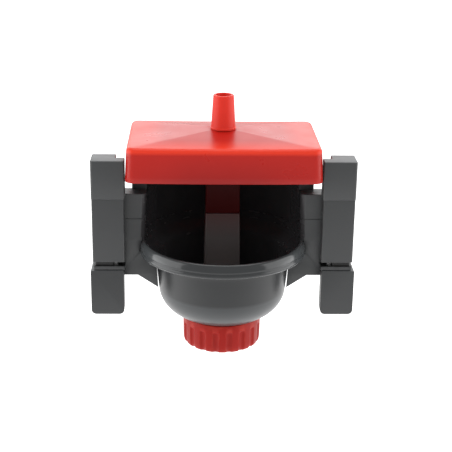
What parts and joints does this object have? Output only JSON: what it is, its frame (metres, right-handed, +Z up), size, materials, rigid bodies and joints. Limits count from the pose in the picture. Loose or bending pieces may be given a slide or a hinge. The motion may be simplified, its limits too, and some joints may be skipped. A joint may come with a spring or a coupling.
{
  "type": "float-valve drinking bowl",
  "caption": "Hose-fed drinking bowl with a roofed lid, inlet nozzle, internal float valve, fluted drain cap and two side clamp brackets.",
  "frame": {"origin": "midway between the two bracket posts, on the plane of their back faces, where the cage panel is", "axes": "+Z up along the inlet's axis, +Y back towards the panel that holds the bowl, +X to the right seen from the front"},
  "size_m": [0.1648, 0.1093, 0.1576],
  "materials": {
    "lid_red": "satin",
    "nozzle_red": "satin",
    "socket_red": "satin",
    "cap_red": "satin",
    "body_dark": "fine texture",
    "bracket_dark": "fine texture",
    "bowl_gloss": "glossy",
    "valve_grey": "satin",
    "rubber": "matte",
    "float_foam": "fine foam",
    "steel": "satin",
    "brass": "turned"
  },
  "bodies": {
    "base": {"body_shell": "body_dark", "bowl": "bowl_gloss", "bowl_gasket": "rubber", "bracket_post_left": "bracket_dark", "bracket_post_right": "bracket_dark", "bowl_screw_1": "steel", "bowl_screw_2": "steel", "bowl_screw_3": "steel", "bowl_screw_4": "steel", "post_screw_left_upper": "steel", "post_screw_left_lower": "steel", "post_screw_right_upper": "steel", "post_screw_right_lower": "steel"},
    "lid": {"lid_cover": "lid_red", "inlet_nozzle": "nozzle_red", "nozzle_seal": "rubber", "valve_socket": "socket_red", "inlet_strainer": "steel", "valve_tube": "valve_grey", "valve_seat": "brass", "valve_foot": "valve_grey", "hinge_pin": "steel"},
    "float": {"float_lever": "valve_grey", "float_body": "float_foam", "float_screw": "steel"},
    "needle": {"valve_needle": "steel", "needle_seal": "rubber"},
    "drain_seal": {"drain_gasket": "rubber"},
    "drain_cap": {"drain_cap": "cap_red"},
    "clamp_left": {"clamp_block_left": "bracket_dark", "clamp_screw_left": "steel"},
    "clamp_right": {"clamp_block_right": "bracket_dark", "clamp_screw_right": "steel"}
  },
  "joints": [
    {"name": "lid_lift", "type": "slide", "parent": "base", "child": "lid", "axis": [0, 0, 1], "range_m": [0, 0.13]},
    {"name": "float_swing", "type": "hinge", "parent": "lid", "child": "float", "pos_m": [0, 0.0236, -0.0416], "axis": [-1, 0, 0], "range_deg": [0, 12]},
    {"name": "needle_lift", "type": "slide", "parent": "lid", "child": "needle", "axis": [0, 0, 1], "range_m": [0, 0.0013]},
    {"name": "drain_cap_drop", "type": "slide", "parent": "base", "child": "drain_seal", "axis": [0, 0, -1], "range_m": [0, 0.0076]},
    {"name": "drain_cap_turn", "type": "hinge", "parent": "drain_seal", "child": "drain_cap", "pos_m": [0, -0.0008, -0.065], "axis": [0, 0, -1], "range_deg": [0, 900]},
    {"name": "clamp_left_slide", "type": "slide", "parent": "base", "child": "clamp_left", "axis": [0, 0, -1], "range_m": [-0.0021, 0.012]},
    {"name": "clamp_right_slide", "type": "slide", "parent": "base", "child": "clamp_right", "axis": [0, 0, -1], "range_m": [-0.0021, 0.012]}
  ],
  "couplings": [
    {"joint": "needle_lift", "follows": "float_swing", "m_per_rad": 0.0062},
    {"joint": "drain_cap_drop", "follows": "drain_cap_turn", "m_per_rad": 0.00047746}
  ]
}
